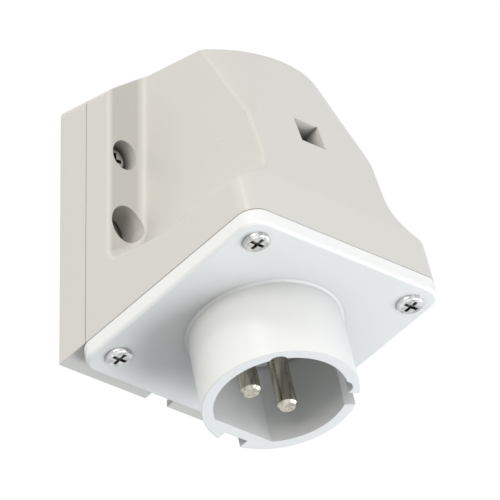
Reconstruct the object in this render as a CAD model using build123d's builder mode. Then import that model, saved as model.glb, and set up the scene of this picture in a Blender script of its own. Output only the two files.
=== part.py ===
from build123d import *
import math
import os

# Wall-mounted appliance inlet, two pins, in a sloping surface-mount housing.
# Millimetres, +Z up, +X to the right seen from the front, the wall is the plane Y = 0.
# The origin lies on the wall, midway between the two wall-fixing holes.

# Housing, front view
width = 75.0
side_height = 80.8
crown_height = 90.1
crown_edge_height = 88.9
crown_slope_width = 12.5
side_corner_radius = 3.0
crown_corner_radius = 4.0
wall = 3.0

# Wall fixings and hood screws
fixing_edge = 7.0
fixing_height = 39.6
fixing_bore_radius = 5.7
fixing_hole_radius = 2.6
fixing_floor = 4.0
hood_screw_edge = 6.1
hood_screw_height = 61.6
hood_screw_bore_radius = 4.55
hood_screw_seat_depth = 15.4
hood_screw_length = 11.5
tube_wall = 1.7

# Back shell
back_depth = 11.0
back_skirt = 2.0
back_hollow = 6.0
back_plate = 2.5
spigot_length = 3.0
spigot_wall = 1.8
spigot_gap = 0.3
notch_width = 8.4
rib_thickness = 1.6
rib_setback = 0.8
rib_end = 4.0
rib_spread = 6.0
knockout_radius = 10.2
knockout_groove = 0.9
knockout_web = 0.9
knockout_height = 62.0

# Joints and seals
joint_gap = 0.2
seal_lip = 1.0
seal_width = 1.8
seal_depth = 1.4
seal_play = 0.1
flange_seal_depth = 1.0
flange_seal_width = 2.0
flange_seal_lip = 1.6
flange_seal_rear_lip = 5.5
flange_seal_pad = 4.3

# Hood, side view
tilt = 15.0
skirt_front_height = 36.5
skirt_front_depth = 76.4
front_lean = 22.4
skirt_corner_radius = 6.0
shoulder_depth = 21.0
shoulder_fillet = 2.6
shoulder_width = 13.2
ledge_height = 25.9
ledge_slope = 31.0
ledge_bend_depth = 45.6
ledge_rise = 13.2
ledge_fillet = 12.5
rim_radius = 1.6
facet_radius = 1.2
corner_start_height = 61.2
corner_flat_half_width = 8.0
corner_radius = 10.0
corner_turn = 31.0
rear_bar = 16.4

# Blind square pocket in the front
pocket_side = 9.3
pocket_depth = 8.0
pocket_height = 62.6
pocket_wall = 1.6

# Cable entry in the top
entry_radius = 10.2
entry_depth = 33.0
entry_seat_radius = 13.4
entry_seat_height = 89.5
entry_plate = 2.6
grommet_rim_radius = 12.8
grommet_rim = 1.5
grommet_lip_radius = 11.4
grommet_lip = 1.4
grommet_skin = 1.6
grommet_nozzle = 7.0
grommet_hole_radius = 5.0
grommet_gap = 0.15

# Inlet body
flange_front_reach = 37.5
flange_rear_reach = 39.4
flange_corner_radius = 6.0
flange_thickness = 5.0
flange_edge_radius = 1.1
flange_centre = 46.4
screw_edge = 7.5
screw_hole_radius = 2.25
collar_length = 25.6
collar_root_radius = 22.55
collar_mouth_radius = 22.9
collar_bore_radius = 19.6
collar_root_fillet = 0.8
collar_flat = 16.2
keyway_width = 8.5
keyway_floor = 19.4
keyway_start = 4.0
side_slot_width = 5.4
side_slot_angle = 60.0
side_slot_length = 15.0
groove_radius = 3.0
groove_centre = 17.9
groove_angle = 44.0
groove_length = 19.0
sleeve_length = 6.0
sleeve_radius = 23.0
ear_reach = 26.4
ear_radius = 4.2

# Contact carrier, pins and terminals
carrier_gap = 0.15
carrier_face = 1.0
carrier_shoulder = 2.5
pin_radius = 3.0
pin_circle_radius = 8.2
pin_angle = 60.0
pin_setback = 2.8
pin_chamfer = 0.7
pin_gap = 0.1
pin_root_radius = 3.5
pin_root_proud = 0.2
pin_relief_depth = 0.2
pin_relief_width = 0.4
barrel_radius = 4.75
barrel_start = 12.5
barrel_end = 30.0
tower_wall = 2.1
wire_hole_radius = 2.5
wire_hole_length = 13.0
terminal_screw_radius = 2.0
terminal_screw_reach = 1.3
terminal_screw_length = 6.4
terminal_screw_place = 23.0
terminal_slot = 0.9
window_gap = 0.6
post_radius = 4.0
post_place = 8.5
cover_thickness = 2.4

# Screws
screw_radius = 1.95
screw_gap = 0.05
screw_head_radius = 4.0
screw_head_height = 1.4
screw_reach = 9.0
boss_radius = 4.6
boss_length = 12.0
boss_clearance = 0.4
small_screw_radius = 1.45
small_head_radius = 2.8
small_head_height = 1.3
small_screw_length = 7.0
cross_width = 1.15
cross_length = 4.9
cross_depth = 1.1

# Derived places
body_half_width = width / 2 - shoulder_width
crown_half_width = width / 2 - crown_slope_width
fixing_spacing = width - 2 * fixing_edge
hood_screw_spacing = width - 2 * hood_screw_edge
half_pitch = width / 2 - screw_edge
front_pitch = flange_front_reach - screw_edge
slope = math.tan(math.radians(tilt))
floor_z = -fixing_height
hood_start = back_depth + joint_gap
joint_drop = flange_thickness + joint_gap
front_edge = flange_centre + flange_front_reach
front_edge_depth = front_edge * math.cos(math.radians(tilt))
front_edge_height = front_edge * math.sin(math.radians(tilt))
pin_x = pin_circle_radius * math.sin(math.radians(pin_angle))
pin_y = -pin_circle_radius * math.cos(math.radians(pin_angle))
tower_radius = barrel_radius + pin_gap + tower_wall
sleeve_end = flange_thickness + sleeve_length
flange_depth = flange_front_reach + flange_rear_reach
flange_middle = (flange_front_reach - flange_rear_reach) / 2

# Front view: x is +X, y is the height above the bottom edge, out of the plane is forward
front_view = Plane(origin=(0, 0, floor_z), x_dir=(1, 0, 0), z_dir=(0, -1, 0))
# Side view: x is the depth from the wall, y is the height above the bottom edge
side_view = Plane(origin=(0, 0, floor_z), x_dir=(0, -1, 0), z_dir=(-1, 0, 0))
# Flange: x is +X, y is forward and up along the slope, out of the plane is out of the socket
outward = Vector(0, -math.sin(math.radians(tilt)), -math.cos(math.radians(tilt)))
along = Vector(0, -math.cos(math.radians(tilt)), math.sin(math.radians(tilt)))
flange_origin = Vector(0, 0, floor_z) + along * flange_centre + outward * joint_drop
flange_view = Plane(origin=flange_origin, x_dir=(1, 0, 0), z_dir=outward)


def front_depth(height):
    """Depth of the flat front face at a height above the bottom edge."""
    return skirt_front_depth - (height - skirt_front_height) * math.tan(math.radians(front_lean))


def front_corners(form):
    """The two upright front edges of a block seen from the front."""
    return form.edges().filter_by(
        lambda e: e.center().Y < -ledge_bend_depth
        and abs(e.center().X) > 1
        and abs(e.tangent_at(0.5).Z) > 0.7
    )


def outline(inset):
    """Front view outline of the housing, stepped in by inset."""
    half = width / 2
    with BuildSketch() as front:
        with BuildLine():
            Polyline(
                (-crown_half_width, crown_edge_height),
                (-half, side_height),
                (-half, 0),
                (half, 0),
                (half, side_height),
                (crown_half_width, crown_edge_height),
            )
            ThreePointArc(
                (-crown_half_width, crown_edge_height),
                (0, crown_height),
                (crown_half_width, crown_edge_height),
            )
        make_face()
        top = front.vertices().sort_by(Axis.Y)[-4:].sort_by(Axis.X)
        fillet((top[0], top[3]), side_corner_radius)
        crown_corners = front.vertices().filter_by(lambda v: abs(abs(v.X) - crown_half_width) < 0.01)
        fillet(crown_corners, crown_corner_radius)
        if inset > 0:
            offset(amount=-inset, kind=Kind.INTERSECTION)
    return front.sketch


def slab(start, end, inset):
    """Slice of the housing between two depths, its underside parallel to the sloping joint."""
    with BuildPart() as slice_part:
        with BuildSketch(front_view.offset(start)):
            add(outline(inset))
        extrude(amount=end - start)
        drop = inset / math.cos(math.radians(tilt))
        with BuildSketch(side_view):
            with BuildLine():
                Polyline(
                    (start, start * slope + drop),
                    (end, end * slope + drop),
                    (end, 2 * crown_height),
                    (start, 2 * crown_height),
                    close=True,
                )
            make_face()
        extrude(amount=width, both=True, mode=Mode.INTERSECT)
    return slice_part.part


def recess_section(side, inset):
    """Section of the hollow beside the hood's body, above the sloping ledge."""
    inner = body_half_width - inset
    outer = width / 2 + 5
    fall = math.tan(math.radians(ledge_slope))
    base = ledge_height - inset / math.cos(math.radians(ledge_slope))
    root = (side * inner, base + (width / 2 - inner) * fall)
    with BuildSketch() as section:
        with BuildLine():
            Polyline(
                (side * inner, 2 * crown_height),
                root,
                (side * outer, base + (width / 2 - outer) * fall),
                (side * outer, 2 * crown_height),
                close=True,
            )
        make_face()
        fillet(section.vertices().sort_by_distance(root)[0], ledge_fillet + inset)
    return section.sketch


def hood_form(inset):
    """The hood's outer form with its rounded edges, or its room when stepped in by the wall."""
    start = hood_start if inset == 0 else back_hollow
    rise = math.radians(ledge_rise)
    top = crown_height + 5
    foot = front_edge_height - 5
    with BuildPart() as form:
        with BuildSketch(side_view):
            with BuildLine():
                Polyline(
                    (start, start * slope - 5),
                    (front_depth(foot), foot),
                    (front_depth(top), top),
                    (start, top),
                    close=True,
                )
            make_face()
            if inset > 0:
                offset(amount=-inset, kind=Kind.INTERSECTION)
        extrude(amount=width / 2 - inset, both=True)
        fillet(front_corners(form), skirt_corner_radius - inset)
        for side in (-1, 1):
            with BuildSketch(front_view.offset(shoulder_depth - inset)):
                add(recess_section(side, inset))
            extrude(amount=ledge_bend_depth - shoulder_depth + inset, mode=Mode.SUBTRACT)
            with BuildSketch(front_view.offset(ledge_bend_depth)):
                add(recess_section(side, inset))
            extrude(amount=width, dir=(0, -math.cos(rise), math.sin(rise)), mode=Mode.SUBTRACT)
        mid_height = floor_z + corner_start_height
        if inset == 0:
            # Hollow round between the shoulders and the body, then the rounded rim of the recesses
            half = body_half_width
            roots = [(side * half, -shoulder_depth, mid_height) for side in (-1, 1)]
            fillet([form.edges().sort_by_distance(spot)[0] for spot in roots], shoulder_fillet)
            front = -front_depth(corner_start_height)
            ridge = (-(shoulder_depth + ledge_bend_depth) / 2, floor_z + ledge_height)
            rims = [(side * half, front, mid_height) for side in (-1, 1)]
            rims += [(side * width / 2, *ridge) for side in (-1, 1)]
            fillet([form.edges().sort_by_distance(spot)[0] for spot in rims], rim_radius)
        for side in (-1, 1):
            add(corner_cut(side, inset), mode=Mode.SUBTRACT)
        if inset == 0:
            facet_rims = form.edges().filter_by(
                lambda e: abs(abs(e.center().X) - body_half_width) < 0.02
                and e.center().Z > mid_height
                and e.geom_type != GeomType.LINE
            )
            fillet(facet_rims, facet_radius)
        add(skirt_form(start, inset), mode=Mode.INTERSECT)
        with BuildSketch(front_view):
            add(outline(inset))
        extrude(amount=front_edge_depth + 1, mode=Mode.INTERSECT)
    return form.part


def skirt_form(start, inset):
    """Block whose front stands steeper than the leaning front face, for the skirt."""
    top = 1.5 * crown_height
    lean = (front_edge_depth - skirt_front_depth) / (skirt_front_height - front_edge_height)
    with BuildPart() as block:
        with BuildSketch(side_view):
            with BuildLine():
                Polyline(
                    (start, start * slope),
                    (front_edge_depth, front_edge_height),
                    (front_edge_depth - (top - front_edge_height) * lean, top),
                    (start, top),
                    close=True,
                )
            make_face()
            if inset > 0:
                offset(amount=-inset, kind=Kind.INTERSECTION)
        extrude(amount=width / 2 - inset, both=True)
        fillet(front_corners(block), skirt_corner_radius - inset)
    return block.part


def corner_cut(side, inset):
    """Wedge that widens upwards and takes off an upper front corner of the hood's body."""
    turn = math.radians(corner_turn)
    heights = (corner_start_height + 0.05, crown_height + 4)
    with BuildPart() as wedge:
        for height in heights:
            share = (height - corner_start_height) / (crown_height - corner_start_height)
            span = (body_half_width - corner_flat_half_width) * share
            bend = corner_radius * share
            corner_x = side * body_half_width
            face_y = -front_depth(height) + inset
            flat_end = (corner_x - side * span, face_y - 0.03)
            bend_end = (
                flat_end[0] + side * bend * math.sin(turn),
                flat_end[1] + bend * (1 - math.cos(turn)),
            )
            outside = corner_x + side * 1.5
            slant_end = (outside, bend_end[1] + abs(outside - bend_end[0]) * math.tan(turn))
            with BuildSketch(Plane.XY.offset(floor_z + height)):
                with BuildLine():
                    TangentArc(flat_end, bend_end, tangent=(side, 0))
                    Polyline(
                        bend_end,
                        slant_end,
                        (outside, face_y - 3),
                        (flat_end[0], face_y - 3),
                        flat_end,
                    )
                make_face()
        loft(ruled=True)
    return wedge.part


def cross_screw(plane, head_radius, head_height, shank_radius, length):
    """Pan-head screw with a cross recess, its head standing on the plane."""
    with BuildPart() as screw:
        with BuildSketch(plane):
            Circle(head_radius)
        extrude(amount=head_height)
        crown = edges().group_by(Axis(plane.origin, plane.z_dir))[-1]
        fillet(crown, head_height * 0.72)
        with BuildSketch(plane):
            Circle(shank_radius)
        extrude(amount=-length)
        tip = edges().group_by(Axis(plane.origin, plane.z_dir))[0]
        chamfer(tip, shank_radius * 0.45)
        top = plane.offset(head_height)
        with BuildSketch(top):
            with Locations((0, 0, 0)):
                Rectangle(cross_length * head_radius / screw_head_radius, cross_width)
                Rectangle(cross_width, cross_length * head_radius / screw_head_radius)
        extrude(amount=-cross_depth * head_height / screw_head_height, taper=12, mode=Mode.SUBTRACT)
    return screw.part


# Back shell: a shallow tray against the hood, open towards the wall behind its plate
with BuildPart() as back_shell:
    add(slab(0, back_depth, 0))
    add(slab(back_depth - 1, back_depth + spigot_length, wall + spigot_gap))
    tray_inset = wall + spigot_gap + spigot_wall
    tray_floor = back_hollow + back_plate
    add(slab(tray_floor, back_depth + spigot_length + 1, tray_inset), mode=Mode.SUBTRACT)
    add(slab(-1, back_hollow, back_skirt), mode=Mode.SUBTRACT)
    # Posts that carry the wall fixings and the hood screws
    fixings = [(side * fixing_spacing / 2, fixing_height) for side in (-1, 1)]
    hood_screws = [(side * hood_screw_spacing / 2, hood_screw_height) for side in (-1, 1)]
    with BuildSketch(front_view) as fixing_posts:
        with Locations(*fixings):
            Circle(fixing_bore_radius + tube_wall)
        add(outline(0), mode=Mode.INTERSECT)
    extrude(amount=back_depth)
    with BuildSketch(front_view) as screw_posts:
        with Locations(*hood_screws):
            Circle(hood_screw_bore_radius + tube_wall)
        add(outline(0), mode=Mode.INTERSECT)
    extrude(amount=back_depth)
    with BuildSketch(front_view.offset(fixing_floor)):
        with Locations(*fixings):
            Circle(fixing_bore_radius)
    extrude(amount=back_depth, mode=Mode.SUBTRACT)
    with BuildSketch(front_view):
        with Locations(*fixings):
            Circle(fixing_hole_radius)
    extrude(amount=back_depth, mode=Mode.SUBTRACT)
    with BuildSketch(front_view.offset(back_depth)):
        with Locations(*hood_screws):
            Circle(screw_radius + screw_gap)
    extrude(amount=-(hood_screw_length - (hood_screw_seat_depth - back_depth) + 1), mode=Mode.SUBTRACT)
    # The spigot leaves room for the tubes and bosses that stand in the hood
    with BuildSketch(front_view.offset(back_depth)):
        with Locations(*fixings):
            Circle(fixing_bore_radius + tube_wall + boss_clearance)
        with Locations(*hood_screws):
            Circle(hood_screw_bore_radius + tube_wall + boss_clearance)
    extrude(amount=spigot_length, mode=Mode.SUBTRACT)
    with BuildSketch(flange_view.offset(-joint_drop)):
        with Locations((-half_pitch, -front_pitch), (half_pitch, -front_pitch)):
            Circle(boss_radius + boss_clearance)
    boss_room = extrude(amount=-boss_length, mode=Mode.PRIVATE)
    add(boss_room & slab(back_depth, back_depth + spigot_length + 1, -1), mode=Mode.SUBTRACT)
    # Ribs across the hollow behind the plate
    with BuildSketch(front_view.offset(rib_setback)):
        with Locations((0, fixing_height), (0, hood_screw_height + knockout_radius + rib_spread)):
            Rectangle(width - back_skirt, rib_thickness)
        rib_x = knockout_radius + rib_spread
        with Locations((-rib_x, crown_height / 2), (rib_x, crown_height / 2)):
            Rectangle(rib_thickness, crown_height - 2 * rib_end)
        with Locations(*fixings):
            Circle(fixing_bore_radius + tube_wall - 0.1, mode=Mode.SUBTRACT)
        with Locations(*hood_screws):
            Circle(hood_screw_bore_radius + tube_wall - 0.1, mode=Mode.SUBTRACT)
        add(outline(back_skirt - 0.1), mode=Mode.INTERSECT)
    extrude(amount=back_hollow - rib_setback + 0.1)
    # Break-out disc for a cable from behind
    with BuildSketch(front_view):
        with Locations((0, knockout_height)):
            Circle(knockout_radius)
            Circle(knockout_radius - knockout_groove, mode=Mode.SUBTRACT)
    extrude(amount=tray_floor - knockout_web, mode=Mode.SUBTRACT)
    # Notch in the lower skirt for a cable along the wall
    with BuildSketch(front_view):
        Rectangle(notch_width, 2 * (back_hollow * slope + back_skirt + 1))
    extrude(amount=back_hollow, mode=Mode.SUBTRACT)
back_shell.part.label = "back_shell"


# Seal ring between the back shell and the hood
with BuildPart() as shell_seal:
    add(slab(back_depth, back_depth + joint_gap + seal_depth, seal_lip + seal_play))
    seal_inner = seal_lip + seal_play + seal_width
    add(slab(back_depth - 1, back_depth + seal_depth + 2, seal_inner), mode=Mode.SUBTRACT)
shell_seal.part.label = "shell_seal"


# The flange seal and its pocket share one outline
seal_side = width - 2 * flange_seal_lip
seal_run = flange_depth - flange_seal_lip - flange_seal_rear_lip
seal_middle = flange_front_reach - flange_seal_lip - seal_run / 2
screw_places = [(x, y) for x in (-half_pitch, half_pitch) for y in (-front_pitch, front_pitch)]


def flange_seal_sketch(grow):
    """Frame with a pad round each screw, grown on every side by grow."""
    inner_radius = flange_corner_radius - flange_seal_lip - flange_seal_width
    with BuildSketch() as frame:
        with Locations((0, seal_middle)):
            RectangleRounded(
                seal_side + 2 * grow,
                seal_run + 2 * grow,
                flange_corner_radius - flange_seal_lip + grow,
            )
            RectangleRounded(
                seal_side - 2 * flange_seal_width - 2 * grow,
                seal_run - 2 * flange_seal_width - 2 * grow,
                inner_radius - grow,
                mode=Mode.SUBTRACT,
            )
        with Locations(*screw_places):
            Circle(flange_seal_pad + grow)
        with Locations((0, seal_middle)):
            RectangleRounded(
                seal_side + 2 * grow,
                seal_run + 2 * grow,
                flange_corner_radius - flange_seal_lip + grow,
                mode=Mode.INTERSECT,
            )
    return frame.sketch


with BuildPart() as flange_seal:
    with BuildSketch(flange_view.offset(-joint_drop)):
        add(flange_seal_sketch(0))
        with Locations(*screw_places):
            Circle(screw_hole_radius, mode=Mode.SUBTRACT)
    extrude(amount=joint_gap + flange_seal_depth)
flange_seal.part.label = "flange_seal"


# Room inside the hood, less everything that stands in it
with BuildPart() as hood_room:
    add(hood_form(wall))
    with BuildSketch(flange_view.offset(-joint_drop)):
        with Locations(*screw_places):
            Circle(boss_radius)
    extrude(amount=-boss_length, mode=Mode.SUBTRACT)
    with BuildSketch(front_view):
        with Locations(*fixings):
            Circle(fixing_bore_radius + tube_wall)
        with Locations(*hood_screws):
            Circle(hood_screw_bore_radius + tube_wall)
    extrude(amount=shoulder_depth, mode=Mode.SUBTRACT)
    pocket_plane = Plane(
        origin=(0, -front_depth(pocket_height), floor_z + pocket_height),
        x_dir=(1, 0, 0),
        z_dir=(0, -math.cos(math.radians(front_lean)), math.sin(math.radians(front_lean))),
    )
    with BuildSketch(pocket_plane):
        Rectangle(pocket_side + 2 * pocket_wall, pocket_side + 2 * pocket_wall)
    extrude(amount=-(pocket_depth + pocket_wall), mode=Mode.SUBTRACT)
    entry_floor = floor_z + entry_seat_height - entry_plate
    with BuildSketch(Plane.XY.offset(entry_floor)):
        with Locations((0, -entry_depth)):
            Circle(entry_seat_radius)
    extrude(amount=wall * 2, mode=Mode.SUBTRACT)


# Hood
with BuildPart() as hood:
    add(hood_form(0))
    add(hood_room.part, mode=Mode.SUBTRACT)
    # Opening in the underside for the inlet body
    opening_front = flange_front_reach - wall
    opening_rear = rear_bar - flange_centre
    with BuildSketch(flange_view.offset(-joint_drop - wall - 1)):
        with Locations((0, (opening_front + opening_rear) / 2)):
            RectangleRounded(width - 2 * wall, opening_front - opening_rear, skirt_corner_radius - wall)
        with Locations(*screw_places):
            Circle(boss_radius, mode=Mode.SUBTRACT)
    extrude(amount=wall + 2, mode=Mode.SUBTRACT)
    with BuildSketch(flange_view.offset(-joint_drop)):
        with Locations(*screw_places):
            Circle(screw_radius + screw_gap)
    extrude(amount=-(screw_reach + 1.5), mode=Mode.SUBTRACT)
    # Rebate for the seal ring
    add(slab(hood_start - 1, back_depth + joint_gap + seal_depth, seal_lip), mode=Mode.SUBTRACT)
    # Screw bores and fixing bores through the shoulders
    with BuildSketch(front_view.offset(hood_screw_seat_depth)):
        with Locations(*hood_screws):
            Circle(hood_screw_bore_radius)
    extrude(amount=shoulder_depth, mode=Mode.SUBTRACT)
    with BuildSketch(front_view):
        with Locations(*hood_screws):
            Circle(screw_radius + 0.3)
    extrude(amount=shoulder_depth, mode=Mode.SUBTRACT)
    with BuildSketch(front_view):
        with Locations(*fixings):
            Circle(fixing_bore_radius)
    extrude(amount=shoulder_depth + shoulder_fillet + 3, mode=Mode.SUBTRACT)
    # Blind square pocket in the front
    with BuildSketch(pocket_plane):
        Rectangle(pocket_side, pocket_side)
    extrude(amount=-pocket_depth, mode=Mode.SUBTRACT)
    # Cable entry
    with BuildSketch(Plane.XY.offset(floor_z + entry_seat_height)):
        with Locations((0, -entry_depth)):
            Circle(entry_seat_radius)
    extrude(amount=wall, mode=Mode.SUBTRACT)
    with BuildSketch(Plane.XY.offset(entry_floor)):
        with Locations((0, -entry_depth)):
            Circle(entry_seat_radius)
    extrude(amount=-wall, mode=Mode.SUBTRACT)
    with BuildSketch(Plane.XY.offset(entry_floor - 1)):
        with Locations((0, -entry_depth)):
            Circle(entry_radius)
    extrude(amount=wall * 2, mode=Mode.SUBTRACT)
hood.part.label = "hood"


# Rubber grommet in the cable entry
seat_z = floor_z + entry_seat_height
with BuildPart() as entry_grommet:
    with BuildSketch(Plane(origin=(0, -entry_depth, 0), x_dir=(1, 0, 0), z_dir=(0, -1, 0))):
        with BuildLine():
            Polyline(
                (grommet_hole_radius, seat_z + grommet_rim),
                (grommet_rim_radius - 0.8, seat_z + grommet_rim),
                (grommet_rim_radius, seat_z + grommet_rim - 0.8),
                (grommet_rim_radius, seat_z),
                (entry_radius - grommet_gap, seat_z),
                (entry_radius - grommet_gap, entry_floor),
                (grommet_lip_radius, entry_floor),
                (entry_radius - grommet_gap, entry_floor - grommet_lip - 0.8),
                (grommet_hole_radius + grommet_skin, entry_floor - grommet_nozzle),
                (grommet_hole_radius, entry_floor - grommet_nozzle),
                close=True,
            )
        make_face()
    revolve(axis=Axis((0, -entry_depth, 0), (0, 0, 1)))
entry_grommet.part.label = "entry_grommet"


def bore_sketch(shrink):
    """Inside outline of the collar: a circle with a flat towards the wall."""
    with BuildSketch() as bore:
        Circle(collar_bore_radius - shrink)
        with Locations((0, -collar_flat + shrink - collar_bore_radius)):
            Rectangle(2 * collar_bore_radius, 2 * collar_bore_radius, mode=Mode.SUBTRACT)
    return bore.sketch


# Inlet body: flange, collar and rear sleeve moulded in one
with BuildPart() as inlet_body:
    with BuildSketch(flange_view.offset(-flange_thickness)):
        with Locations((0, flange_middle)):
            RectangleRounded(width, flange_depth, flange_corner_radius)
    extrude(amount=flange_thickness)
    outer_rim = inlet_body.faces().filter_by(lambda f: abs(f.normal_at().dot(outward) - 1) < 1e-6)
    fillet(outer_rim.edges(), flange_edge_radius)
    collar_taper = math.degrees(math.atan((collar_mouth_radius - collar_root_radius) / collar_length))
    with BuildSketch(flange_view):
        Circle(collar_root_radius)
    extrude(amount=collar_length, taper=-collar_taper)
    foot_edge = inlet_body.edges().filter_by(GeomType.CIRCLE).sort_by(
        lambda e: abs(e.radius - collar_root_radius)
    )[0]
    fillet(foot_edge, collar_root_fillet)
    with BuildSketch(flange_view.offset(-flange_thickness)):
        Circle(sleeve_radius)
        with Locations((-ear_reach, 0), (ear_reach, 0)):
            Circle(ear_radius)
        Rectangle(2 * ear_reach, 2 * ear_radius)
    extrude(amount=-sleeve_length)
    with BuildSketch(flange_view.offset(collar_length + 1)):
        add(bore_sketch(0))
    extrude(amount=-(collar_length + sleeve_end + 2), mode=Mode.SUBTRACT)
    # Outer keyway on the wall side
    with BuildSketch(flange_view.offset(keyway_start)):
        with Locations((0, -keyway_floor - collar_mouth_radius / 2)):
            Rectangle(keyway_width, collar_mouth_radius)
    extrude(amount=collar_length, mode=Mode.SUBTRACT)
    # Side slot and the two guide grooves
    slot_turn = 90 - side_slot_angle
    with BuildSketch(flange_view.offset(collar_length - side_slot_length)):
        with PolarLocations(collar_mouth_radius, 1, start_angle=slot_turn):
            Rectangle(collar_mouth_radius / 2, side_slot_width)
    extrude(amount=side_slot_length + 1, mode=Mode.SUBTRACT)
    with BuildSketch(flange_view.offset(collar_length - groove_length)):
        with PolarLocations(groove_centre, 2, start_angle=90 - groove_angle, angular_range=4 * groove_angle):
            Circle(groove_radius)
    extrude(amount=groove_length + 1, mode=Mode.SUBTRACT)
    # Seal pocket, screw holes and pilot holes
    with BuildSketch(flange_view.offset(-flange_thickness)):
        add(flange_seal_sketch(seal_play))
    extrude(amount=flange_seal_depth, mode=Mode.SUBTRACT)
    with BuildSketch(flange_view.offset(1)):
        with Locations(*screw_places):
            Circle(screw_hole_radius)
    extrude(amount=-(flange_thickness + 2), mode=Mode.SUBTRACT)
    with BuildSketch(flange_view.offset(-sleeve_end)):
        with Locations((-ear_reach, 0), (ear_reach, 0)):
            Circle(small_screw_radius + screw_gap)
    extrude(amount=small_screw_length - carrier_shoulder + 1, mode=Mode.SUBTRACT)
inlet_body.part.label = "inlet_body"


# Contact carrier: a plug that fills the collar's bore, with a tower round each terminal
pin_places = [(-pin_x, pin_y), (pin_x, pin_y)]
with BuildPart() as contact_carrier:
    with BuildSketch(flange_view.offset(-carrier_face)):
        add(bore_sketch(carrier_gap))
    extrude(amount=-(sleeve_end - carrier_face))
    with BuildSketch(flange_view.offset(-sleeve_end)):
        Circle(sleeve_radius)
        with Locations((-ear_reach, 0), (ear_reach, 0)):
            Circle(ear_radius)
        Rectangle(2 * ear_reach, 2 * ear_radius)
    extrude(amount=-carrier_shoulder)
    with BuildSketch(flange_view.offset(-sleeve_end)):
        with Locations(*pin_places):
            Circle(tower_radius)
        Rectangle(2 * pin_x, 0.01 + tower_wall, align=(Align.CENTER, Align.CENTER))
        with Locations((0, post_place)):
            Circle(post_radius)
        with Locations((0, (post_place + pin_y) / 2)):
            Rectangle(post_radius, post_place - pin_y)
    extrude(amount=-(barrel_end - sleeve_end))
    with BuildSketch(flange_view):
        with Locations(*pin_places):
            Circle(pin_root_radius + pin_gap)
    extrude(amount=-barrel_end, mode=Mode.SUBTRACT)
    with BuildSketch(flange_view.offset(-barrel_start)):
        with Locations(*pin_places):
            Circle(barrel_radius + pin_gap)
    extrude(amount=-barrel_end, mode=Mode.SUBTRACT)
    with BuildSketch(flange_view.offset(-barrel_end)):
        with Locations((0, post_place)):
            Circle(small_screw_radius + screw_gap)
    extrude(amount=small_screw_length - cover_thickness + 1, mode=Mode.SUBTRACT)
    with BuildSketch(flange_view.offset(-sleeve_end - carrier_shoulder)):
        with Locations((-ear_reach, 0), (ear_reach, 0)):
            Circle(small_screw_radius + 0.2)
    extrude(amount=carrier_shoulder, mode=Mode.SUBTRACT)
    # Side windows to the terminal screws
    for side in (-1, 1):
        window = Plane(
            origin=flange_view.from_local_coords((side * pin_x, pin_y, -terminal_screw_place)),
            x_dir=outward,
            z_dir=(side, 0, 0),
        )
        with BuildSketch(window):
            Circle(terminal_screw_radius + window_gap)
        extrude(amount=tower_radius + 1, mode=Mode.SUBTRACT)
contact_carrier.part.label = "contact_carrier"


def contact_pin(side):
    """Round pin with a drilled terminal barrel behind it."""
    with BuildPart() as pin:
        tip = collar_length - pin_setback
        root_top = pin_root_proud - carrier_face
        with BuildSketch(flange_view.offset(root_top + pin_relief_width)):
            with Locations((side * pin_x, pin_y)):
                Circle(pin_radius)
        extrude(amount=tip - root_top - pin_relief_width)
        with BuildSketch(flange_view.offset(root_top)):
            with Locations((side * pin_x, pin_y)):
                Circle(pin_radius - pin_relief_depth)
        extrude(amount=pin_relief_width)
        with BuildSketch(flange_view.offset(-barrel_start)):
            with Locations((side * pin_x, pin_y)):
                Circle(pin_root_radius)
        extrude(amount=root_top + barrel_start)
        tip_edge = pin.edges().sort_by(Axis(flange_origin, outward))[-1]
        chamfer(tip_edge, pin_chamfer)
        with BuildSketch(flange_view.offset(-barrel_end)):
            with Locations((side * pin_x, pin_y)):
                Circle(barrel_radius)
        extrude(amount=barrel_end - barrel_start)
        with BuildSketch(flange_view.offset(-barrel_end)):
            with Locations((side * pin_x, pin_y)):
                Circle(wire_hole_radius)
        extrude(amount=wire_hole_length, mode=Mode.SUBTRACT)
        window = Plane(
            origin=flange_view.from_local_coords((side * pin_x, pin_y, -terminal_screw_place)),
            x_dir=outward,
            z_dir=(side, 0, 0),
        )
        with BuildSketch(window):
            Circle(terminal_screw_radius + screw_gap)
        extrude(amount=barrel_radius + 1, mode=Mode.SUBTRACT)
    return pin.part


def terminal_screw(side):
    """Slotted clamping screw in the side of a terminal barrel."""
    with BuildPart() as screw:
        window = Plane(
            origin=flange_view.from_local_coords((side * pin_x, pin_y, -terminal_screw_place)),
            x_dir=outward,
            z_dir=(side, 0, 0),
        )
        with BuildSketch(window.offset(terminal_screw_reach)):
            Circle(terminal_screw_radius)
        extrude(amount=terminal_screw_length)
        with BuildSketch(window.offset(terminal_screw_reach + terminal_screw_length)):
            Rectangle(2 * terminal_screw_radius + 1, terminal_slot)
        extrude(amount=-terminal_slot, mode=Mode.SUBTRACT)
    return screw.part


# Cover plate behind the terminals
with BuildPart() as carrier_cover:
    with BuildSketch(flange_view.offset(-barrel_end)):
        with Locations(*pin_places):
            Circle(tower_radius)
        Rectangle(2 * pin_x, 0.01 + tower_wall, align=(Align.CENTER, Align.CENTER))
        with Locations((0, post_place)):
            Circle(post_radius)
        with Locations((0, (post_place + pin_y) / 2)):
            Rectangle(post_radius, post_place - pin_y)
        with Locations(*pin_places):
            Circle(wire_hole_radius + 0.4, mode=Mode.SUBTRACT)
        with Locations((0, post_place)):
            Circle(small_screw_radius + 0.2, mode=Mode.SUBTRACT)
    extrude(amount=-cover_thickness)
carrier_cover.part.label = "carrier_cover"

pieces = [back_shell.part, shell_seal.part, hood.part, flange_seal.part, inlet_body.part]
pieces += [contact_carrier.part, carrier_cover.part, entry_grommet.part]

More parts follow.
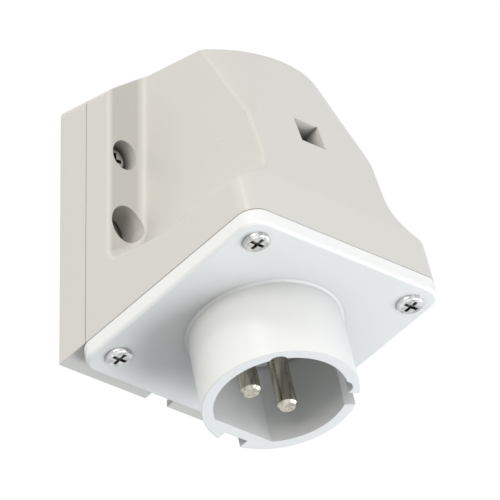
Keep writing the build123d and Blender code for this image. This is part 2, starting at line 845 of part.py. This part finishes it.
for side, name in ((-1, "left"), (1, "right")):
    pin_piece = contact_pin(side)
    pin_piece.label = "contact_pin_" + name
    clamp_piece = terminal_screw(side)
    clamp_piece.label = "terminal_screw_" + name
    pieces += [pin_piece, clamp_piece]

# Screws
for row, y in (("rear", -front_pitch), ("front", front_pitch)):
    for side, name in ((-1, "left"), (1, "right")):
        spot = Plane(
            origin=flange_view.from_local_coords((side * half_pitch, y, 0)), x_dir=(1, 0, 0), z_dir=outward
        )
        reach = joint_drop + screw_reach
        flange_screw = cross_screw(spot, screw_head_radius, screw_head_height, screw_radius, reach)
        flange_screw.label = "flange_screw_" + row + "_" + name
        pieces.append(flange_screw)

for side, name in ((-1, "left"), (1, "right")):
    spot = Plane(
        origin=(side * hood_screw_spacing / 2, -hood_screw_seat_depth, floor_z + hood_screw_height),
        x_dir=(1, 0, 0),
        z_dir=(0, -1, 0),
    )
    hood_screw = cross_screw(spot, screw_head_radius, screw_head_height, screw_radius, hood_screw_length)
    hood_screw.label = "hood_screw_" + name
    pieces.append(hood_screw)
    spot = Plane(
        origin=flange_view.from_local_coords((side * ear_reach, 0, -sleeve_end - carrier_shoulder)),
        x_dir=(1, 0, 0),
        z_dir=-outward,
    )
    carrier_screw = cross_screw(
        spot, small_head_radius, small_head_height, small_screw_radius, small_screw_length
    )
    carrier_screw.label = "carrier_screw_" + name
    pieces.append(carrier_screw)

spot = Plane(
    origin=flange_view.from_local_coords((0, post_place, -barrel_end - cover_thickness)),
    x_dir=(1, 0, 0),
    z_dir=-outward,
)
cover_screw = cross_screw(
    spot, small_head_radius, small_head_height, small_screw_radius, small_screw_length
)
cover_screw.label = "cover_screw"
pieces.append(cover_screw)

os.makedirs("parts", exist_ok=True)
for piece in pieces:
    export_step(piece, "parts/" + piece.label + ".step")
    print(piece.label, round(piece.volume, 1), piece.is_valid, len(piece.solids()))
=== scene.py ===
import math

import bmesh
import bpy
from mathutils import Matrix, Vector


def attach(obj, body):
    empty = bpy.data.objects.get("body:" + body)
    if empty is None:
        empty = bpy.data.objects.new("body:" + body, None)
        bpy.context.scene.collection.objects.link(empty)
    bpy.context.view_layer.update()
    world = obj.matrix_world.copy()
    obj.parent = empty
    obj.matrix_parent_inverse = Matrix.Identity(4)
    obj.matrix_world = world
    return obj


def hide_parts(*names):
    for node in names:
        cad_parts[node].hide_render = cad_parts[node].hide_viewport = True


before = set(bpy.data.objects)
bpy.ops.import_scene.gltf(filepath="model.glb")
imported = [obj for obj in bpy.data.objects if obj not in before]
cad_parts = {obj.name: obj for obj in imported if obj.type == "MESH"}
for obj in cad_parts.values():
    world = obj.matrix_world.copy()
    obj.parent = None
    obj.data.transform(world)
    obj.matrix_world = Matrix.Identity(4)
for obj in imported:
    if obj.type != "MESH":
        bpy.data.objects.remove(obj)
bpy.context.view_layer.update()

# Millimetres in a metre
MM = 1000

# Camera, in degrees, millimetres and pixels of a 500 x 500 picture
AZIMUTH = -42.898
ELEVATION = -26.268
ROLL = -0.246
DISTANCE = 2561.291
FOCAL_PIXELS = 8945.668
OFFSET_RIGHT = 14.677
OFFSET_UP = 78.365
FOCUS = Vector((0, -46.2, -32.3))
SENSOR_MM = 36.0
PICTURE = 500

# The CAD's hood, in millimetres: height of its bottom edge in the frame, then heights above that
# edge, the plane of its front (depth at one height) and the upper corners, a bend and a flat facet
BOTTOM = -39.6
CROWN = 90.1
BODY_HALF_WIDTH = 24.3
FRONT_DEPTH = 76.4
FRONT_HEIGHT = 36.5
FRONT_SLOPE = math.tan(math.radians(22.4))
FACET_START = 61.2
FACET_SPAN = 16.3
FACET_BEND = 10.0
FACET_TURN = math.radians(31)

# The round that stands for those corners: its start, its radius at the crown, and its strips
ROUND_START = 58.2
ROUND_FLOOR = (BOTTOM + ROUND_START) / MM
ROUND_RADIUS = 36.0
ROUND_STRIPS = 24

# Depth of the hood's outer skin that moves with the round, in millimetres, and its limits
RIM = 1.7
CROWN_RIM = 2.5
SKIN_SLACK = 0.4
SIDE_SLACK = 0.1

# Faces cut for the round: how far they look forwards, and where they begin, in metres
FACING_FRONT = -0.2
PAST_MIDDLE = -0.001
SAME_POINT = 1e-6
ON_CUT = 1e-7
SHARP_ANGLE = math.radians(32)

# Colours, linear
HOUSING = (0.655, 0.638, 0.598)
INLET = (0.86, 0.86, 0.845)
CARRIER = (0.60, 0.61, 0.61)
GROMMET = (0.33, 0.33, 0.32)
SEAL = (0.06, 0.06, 0.062)
NICKEL = (0.69, 0.645, 0.545)
ZINC = (0.83, 0.83, 0.82)

# Surface grain: noise per metre, height of the bump and soft rounding of the edges in metres
PLASTIC_GRAIN = (1900.0, 0.00002, 0.0003)
RUBBER_GRAIN = (2600.0, 0.00003, 0.0002)
METAL_GRAIN = (1400.0, 0.000004, 0.00012)
GRAIN_STRENGTH = 0.35
EDGE_SAMPLES = 6

# Dark joints with painted shade in corners, and painted shade in recesses: how far the near wall is felt,
# and how much darker they are
SEAM_AND_CORNER_SHADE_REACH = 0.0016
SEAM_AND_CORNER_SHADE_DEPTH = 0.45
RECESS_SHADE_REACH = 0.0014
RECESS_SHADE_DEPTH = 0.82
HOLLOW_SHADE_SAMPLES = 8

# Painted reflection streaks on the metals, laid like drawing marks: slope of the pins' axis, stretch along
# it, shade of the darker streaks
TILT = math.radians(-15)
REFLECTION_STREAK_STRETCH = 0.004
REFLECTION_STREAK_SHADE = 0.55

# Lamps: direction from the object, share of full white that they give it, side, colour
LAMP_DISTANCE = 1.65
LAMPS = {
    "key_lamp": ((0.30, -0.66, -0.69), 0.46, 0.6, (0.92, 0.97, 1.0)),
    "left_lamp": ((-0.90, -0.42, 0.12), 0.475, 0.8, (1.0, 0.965, 0.90)),
    "rim_lamp": ((-0.725, -0.283, 0.608), 0.115, 0.25, (1.0, 0.98, 0.94)),
    "right_lamp": ((0.76, -0.50, -0.42), 0.34, 0.8, (0.95, 0.98, 1.0)),
}

# Surroundings, in metres: the world's level, and the floor as it lights and as it is seen
AMBIENT = 0.63
AMBIENT_TINT = (0.97, 0.985, 1, 1)
FLOOR_Z = -1.35
FLOOR_HALF = 4
FLOOR = (0.42, 0.44, 0.46)
FLOOR_SEEN = (0.86, 0.87, 0.88)
FLOOR_GLOW = 0.25


def node(tree, kind, **inputs):
    """New shader node with its plain input values."""
    made = tree.nodes.new(kind)
    for name, value in inputs.items():
        made.inputs[name.replace("_", " ")].default_value = value
    return made


def new_material(name):
    """Empty node material with a principled shader; returns material, tree, shader."""
    made = bpy.data.materials.new(name)
    made.use_nodes = True
    tree = made.node_tree
    shader = tree.nodes["Principled BSDF"]
    return made, tree, shader


def placed(name, data):
    """New object in the scene."""
    made = bpy.data.objects.new(name, data)
    bpy.context.scene.collection.objects.link(made)
    return made


def surface_grain(tree, shader, scale, height, rounding):
    """Fine bump over softly rounded edges; returns the node that gives a point's place."""
    place = node(tree, "ShaderNodeTexCoord")
    grain = node(tree, "ShaderNodeTexNoise", Scale=scale, Detail=3.0, Roughness=0.6)
    edge = node(tree, "ShaderNodeBevel", Radius=rounding)
    edge.samples = EDGE_SAMPLES
    bump = node(tree, "ShaderNodeBump", Strength=GRAIN_STRENGTH, Distance=height)
    tree.links.new(place.outputs["Object"], grain.inputs["Vector"])
    tree.links.new(grain.outputs["Fac"], bump.inputs["Height"])
    tree.links.new(edge.outputs["Normal"], bump.inputs["Normal"])
    tree.links.new(bump.outputs["Normal"], shader.inputs["Normal"])
    return place


def varied_roughness(tree, place, shader, low, high, scale):
    """Slow change of the roughness over the surface, between low and high."""
    cloud = node(tree, "ShaderNodeTexNoise", Scale=scale, Detail=4.0, Roughness=0.55)
    ramp = node(tree, "ShaderNodeMapRange", From_Min=0.3, From_Max=0.7, To_Min=low, To_Max=high)
    tree.links.new(place.outputs["Object"], cloud.inputs["Vector"])
    tree.links.new(cloud.outputs["Fac"], ramp.inputs["Value"])
    tree.links.new(ramp.outputs["Result"], shader.inputs["Roughness"])


def two_tone(tree, where, shader, tones, stops, **noise):
    """Base colour that a noise moves from one tone to the other, between two stops."""
    cloud = node(tree, "ShaderNodeTexNoise", Roughness=0.6, **noise)
    ramp = node(tree, "ShaderNodeValToRGB")
    for element, tone, stop in zip(ramp.color_ramp.elements, tones, stops):
        element.position = stop
        element.color = (*tone, 1)
    tree.links.new(where, cloud.inputs["Vector"])
    tree.links.new(cloud.outputs["Fac"], ramp.inputs["Fac"])
    tree.links.new(ramp.outputs["Color"], shader.inputs["Base Color"])


def tinted(tree, place, shader, colour, spread, scale):
    """Base colour with faint, slow flow marks of the moulding."""
    tones = [[min(1, c * (1 + change)) for c in colour] for change in (-spread, spread)]
    two_tone(tree, place.outputs["Object"], shader, tones, (0.25, 0.75), Scale=scale, Detail=5.0)


def painted_hollow_shade(tree, shader, reach, depth, own_shape, closed_at=0.0, open_at=1.0):
    """Painted shade: darken the base colour where walls stand closer than reach, by up to the given depth.
    """
    colour = shader.inputs["Base Color"].links[0].from_socket
    closed = node(tree, "ShaderNodeAmbientOcclusion", Distance=reach)
    closed.samples = HOLLOW_SHADE_SAMPLES
    closed.only_local = own_shape
    ramp = node(tree, "ShaderNodeMapRange", From_Min=closed_at, From_Max=open_at, To_Min=1 - depth)
    shade = node(tree, "ShaderNodeVectorMath")
    shade.operation = "SCALE"
    tree.links.new(closed.outputs["AO"], ramp.inputs["Value"])
    tree.links.new(colour, shade.inputs[0])
    tree.links.new(ramp.outputs["Result"], shade.inputs["Scale"])
    tree.links.new(shade.outputs["Vector"], shader.inputs["Base Color"])


def moulded_plastic(name, colour, roughness, **hollow_shade):
    """Satin moulded plastic with a fine spark-eroded grain, painted shade in its hollows and corners, and
    dark joints.
    """
    made, tree, shader = new_material(name)
    shader.inputs["IOR"].default_value = 1.5
    place = surface_grain(tree, shader, *PLASTIC_GRAIN)
    varied_roughness(tree, place, shader, roughness - 0.04, roughness + 0.04, 60.0)
    tinted(tree, place, shader, colour, 0.012, 22.0)
    # Painted shade in the piece's own hollows, then dark joints and painted shade in corners against any
    # piece
    painted_hollow_shade(tree, shader, own_shape=True, **hollow_shade)
    painted_hollow_shade(tree, shader, SEAM_AND_CORNER_SHADE_REACH, SEAM_AND_CORNER_SHADE_DEPTH, own_shape=False)
    return made


def rubber(name, colour):
    """Matt rubber."""
    made, tree, shader = new_material(name)
    place = surface_grain(tree, shader, *RUBBER_GRAIN)
    varied_roughness(tree, place, shader, 0.62, 0.78, 90.0)
    tinted(tree, place, shader, colour, 0.05, 60.0)
    return made


def plated_metal(name, colour, roughness, streak):
    """Bright plated metal with painted reflection streaks along the pins' axis, laid like drawing marks,
    and painted shade in its recesses.
    """
    made, tree, shader = new_material(name)
    shader.inputs["Metallic"].default_value = 1.0
    place = surface_grain(tree, shader, *METAL_GRAIN)
    varied_roughness(tree, place, shader, roughness - 0.05, roughness + 0.07, 350.0)
    # Painted reflection streaks: the base colour runs darker and lighter in long marks along the pins'
    # axis
    streak_axis = node(tree, "ShaderNodeMapping", Rotation=(TILT, 0, 0), Scale=(1, 1, REFLECTION_STREAK_STRETCH))
    tree.links.new(place.outputs["Object"], streak_axis.inputs["Vector"])
    tones = [c * REFLECTION_STREAK_SHADE for c in colour], colour
    two_tone(tree, streak_axis.outputs["Vector"], shader, tones, (0.38, 0.62), Scale=streak, Detail=3.0)
    # Painted shade in the recesses, such as the screws' cross
    painted_hollow_shade(tree, shader, RECESS_SHADE_REACH, RECESS_SHADE_DEPTH, own_shape=True)
    return made


# Painted shade in each plastic's hollows: how far the near wall is felt, how much darker, and the openness
# over which it fades
housing = moulded_plastic(
    "housing_plastic", HOUSING, 0.31, reach=0.016, depth=0.86, closed_at=0.02, open_at=0.42
)
inlet_plastic = moulded_plastic("inlet_plastic", INLET, 0.38, reach=0.036, depth=0.54)
carrier = moulded_plastic("carrier_plastic", CARRIER, 0.5, reach=0.008, depth=0.4)
grommet = rubber("grommet_rubber", GROMMET)
seal = rubber("seal_rubber", SEAL)
nickel = plated_metal("nickel_contact", NICKEL, 0.22, 700.0)
zinc = plated_metal("zinc_screw", ZINC, 0.18, 500.0)

# All nodes that aren't named here are screws
FINISHES = {
    "back_shell": housing,
    "hood": housing,
    "inlet_body": inlet_plastic,
    "contact_carrier": carrier,
    "carrier_cover": carrier,
    "entry_grommet": grommet,
    "shell_seal": seal,
    "flange_seal": seal,
    "contact_pin_left": nickel,
    "contact_pin_right": nickel,
}
for name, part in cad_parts.items():
    part.data.materials.clear()
    part.data.materials.append(FINISHES.get(name, zinc))


def arc_drop(across, radius):
    """How far an arc that starts level lies back, at a distance across."""
    return radius - math.sqrt(radius * radius - across * across)


def facet_drop(across, height):
    """How far the CAD's corner lies behind the plane of the hood's front."""
    share = (height - FACET_START) / (CROWN - FACET_START)
    across -= BODY_HALF_WIDTH - FACET_SPAN * share
    if share <= 0 or across <= 0:
        return 0
    bend = FACET_BEND * share
    level = bend * math.sin(FACET_TURN)
    if across < level:
        return arc_drop(across, bend)
    return arc_drop(level, bend) + (across - level) * math.tan(FACET_TURN)


def round_drop(across, height):
    """How far the rounded corner lies behind the plane of the hood's front."""
    share = (height - ROUND_START) / (CROWN - ROUND_START)
    across -= BODY_HALF_WIDTH * (1 - share)
    if share <= 0 or across <= 0:
        return 0
    return arc_drop(across, ROUND_RADIUS * share)


def corner_move(point):
    """Move towards the wall, in metres, that brings a point of the hood's skin onto the round."""
    beside = abs(point.x) * MM
    across = min(beside, BODY_HALF_WIDTH)
    height = min(point.z * MM - BOTTOM, CROWN)
    facet = facet_drop(across, height)
    skin = FRONT_DEPTH - (height - FRONT_HEIGHT) * FRONT_SLOPE - facet
    behind = skin + point.y * MM
    rim = CROWN_RIM if height > CROWN - RIM else RIM
    if beside > BODY_HALF_WIDTH + SIDE_SLACK or not -SKIN_SLACK < behind < rim:
        return 0
    return max(0, round_drop(across, height) - facet) / MM


def upper_front(shape, side):
    """The hood's upper front on one side: its faces, and their edges and corners."""
    faces = [
        face for face in shape.faces
        if face.normal.y < FACING_FRONT
        and any(v.co.z > ROUND_FLOOR and v.co.x * side > PAST_MIDDLE for v in face.verts)
    ]
    edges = dict.fromkeys(edge for face in faces for edge in face.edges)
    corners = dict.fromkeys(v for face in faces for v in face.verts)
    return [*faces, *edges, *corners]


def cut_strips(shape, side):
    """Cut the hood's upper front along the straight lines of the round, from its start."""
    apex = Vector((side * BODY_HALF_WIDTH / MM, 0, ROUND_FLOOR))
    for step in range(1, ROUND_STRIPS + 1):
        line = Vector((-side * BODY_HALF_WIDTH * step / ROUND_STRIPS, 0, CROWN - ROUND_START))
        bmesh.ops.bisect_plane(
            shape, geom=upper_front(shape, side), dist=ON_CUT, plane_co=apex,
            plane_no=line.cross(Vector((0, 1, 0))).normalized(),
        )


def rounded_hood(source):
    """The hood with its upper front corners in one round from the middle of the crown."""
    piece = placed("hood_shell", source.data.copy())
    shape = bmesh.new()
    shape.from_mesh(piece.data)
    bmesh.ops.remove_doubles(shape, verts=shape.verts, dist=SAME_POINT)
    for side in (-1, 1):
        cut_strips(shape, side)
    moves = [(v, corner_move(v.co)) for v in shape.verts]
    moving = (face for v, move in moves if move > 0 for face in v.link_faces)
    uneven = dict.fromkeys(face for face in moving if len(face.verts) > 3)
    bmesh.ops.triangulate(shape, faces=list(uneven))
    for v, move in moves:
        v.co.y += move
    for face in shape.faces:
        face.smooth = True
    for edge in shape.edges:
        edge.smooth = edge.calc_face_angle(0) < SHARP_ANGLE
    shape.to_mesh(piece.data)
    shape.free()
    if "custom_normal" in piece.data.attributes:
        piece.data.attributes.remove(piece.data.attributes["custom_normal"])
    weighted = piece.modifiers.new("even_faces", "WEIGHTED_NORMAL")
    weighted.keep_sharp = True
    return piece


hood_shell = rounded_hood(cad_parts["hood"])
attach(hood_shell, "root")
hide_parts("hood")


def soft_lamp(name, direction, share, side, colour):
    """Square area lamp that looks at the object from one direction."""
    data = bpy.data.lights.new(name, "AREA")
    data.shape = "SQUARE"
    data.size = side
    data.energy = share * (math.pi * LAMP_DISTANCE) ** 2
    data.color = colour
    lamp = placed(name, data)
    away = Vector(direction).normalized()
    lamp.location = FOCUS / MM + away * LAMP_DISTANCE
    lamp.rotation_euler = away.to_track_quat("Z", "Y").to_euler()


for name, settings in LAMPS.items():
    soft_lamp(name, *settings)


def seen_rays(tree):
    """Factor that is 1 for rays from the camera and for mirror-like ones, 0 for diffuse light."""
    path = tree.nodes.new("ShaderNodeLightPath")
    total = path.outputs["Is Camera Ray"]
    for kind in ("Is Glossy Ray", "Is Transmission Ray"):
        either = tree.nodes.new("ShaderNodeMath")
        either.operation = "MAXIMUM"
        tree.links.new(total, either.inputs[0])
        tree.links.new(path.outputs[kind], either.inputs[1])
        total = either.outputs[0]
    return total


def seen_as(tree, lighting, seen, output):
    """One shader for diffuse light, and another for the rays that see the surface."""
    mix = tree.nodes.new("ShaderNodeMixShader")
    tree.links.new(seen_rays(tree), mix.inputs["Fac"])
    tree.links.new(lighting.outputs[0], mix.inputs[1])
    tree.links.new(seen.outputs[0], mix.inputs[2])
    tree.links.new(mix.outputs[0], output.inputs["Surface"])


# World: white where it is seen, a plain level for diffuse light
world = bpy.data.worlds.new("studio")
bpy.context.scene.world = world
world.use_nodes = True
tree = world.node_tree
tree.nodes.clear()
plain = node(tree, "ShaderNodeBackground", Color=AMBIENT_TINT, Strength=AMBIENT)
white = node(tree, "ShaderNodeBackground", Color=(1, 1, 1, 1))
seen_as(tree, plain, white, tree.nodes.new("ShaderNodeOutputWorld"))

# Floor, well below the wall-mounted object and below the camera, paler where it is seen
floor_mesh = bpy.data.meshes.new("floor")
corners = [(-1, -1), (1, -1), (1, 1), (-1, 1)]
floor_mesh.from_pydata([(x * FLOOR_HALF, y * FLOOR_HALF, FLOOR_Z) for x, y in corners], [], [(0, 1, 2, 3)])
floor = placed("floor", floor_mesh)
paper, tree, shader = new_material("floor_paper")
shader.inputs["Roughness"].default_value = 0.9
tinted(tree, node(tree, "ShaderNodeTexCoord"), shader, FLOOR, 0.01, 3.0)
paler = node(tree, "ShaderNodeBsdfDiffuse", Color=(*FLOOR_SEEN, 1))
glow = node(tree, "ShaderNodeEmission", Strength=FLOOR_GLOW)
both = tree.nodes.new("ShaderNodeAddShader")
tree.links.new(paler.outputs[0], both.inputs[0])
tree.links.new(glow.outputs[0], both.inputs[1])
seen_as(tree, shader, both, tree.nodes["Material Output"])
floor_mesh.materials.append(paper)

# Camera
turn = math.radians(AZIMUTH)
rise = math.radians(ELEVATION)
roll = math.radians(ROLL)
back = Vector((math.sin(turn) * math.cos(rise), -math.cos(turn) * math.cos(rise), math.sin(rise)))
level = Vector((math.cos(turn), math.sin(turn), 0))
upright = back.cross(level)
right = level * math.cos(roll) + upright * math.sin(roll)
up = -level * math.sin(roll) + upright * math.cos(roll)
pixel = DISTANCE / FOCAL_PIXELS
eye = FOCUS + right * (-OFFSET_RIGHT * pixel) + up * (OFFSET_UP * pixel) + back * DISTANCE
lens = bpy.data.cameras.new("camera")
lens.sensor_width = SENSOR_MM
lens.lens = FOCAL_PIXELS * SENSOR_MM / PICTURE
lens.clip_start = 0.1
lens.clip_end = 20
camera = placed("camera", lens)
turned = Matrix((right, up, back)).transposed().to_4x4()
camera.matrix_world = Matrix.Translation(eye / MM) @ turned
bpy.context.scene.camera = camera
bpy.context.scene.view_settings.view_transform = "Standard"
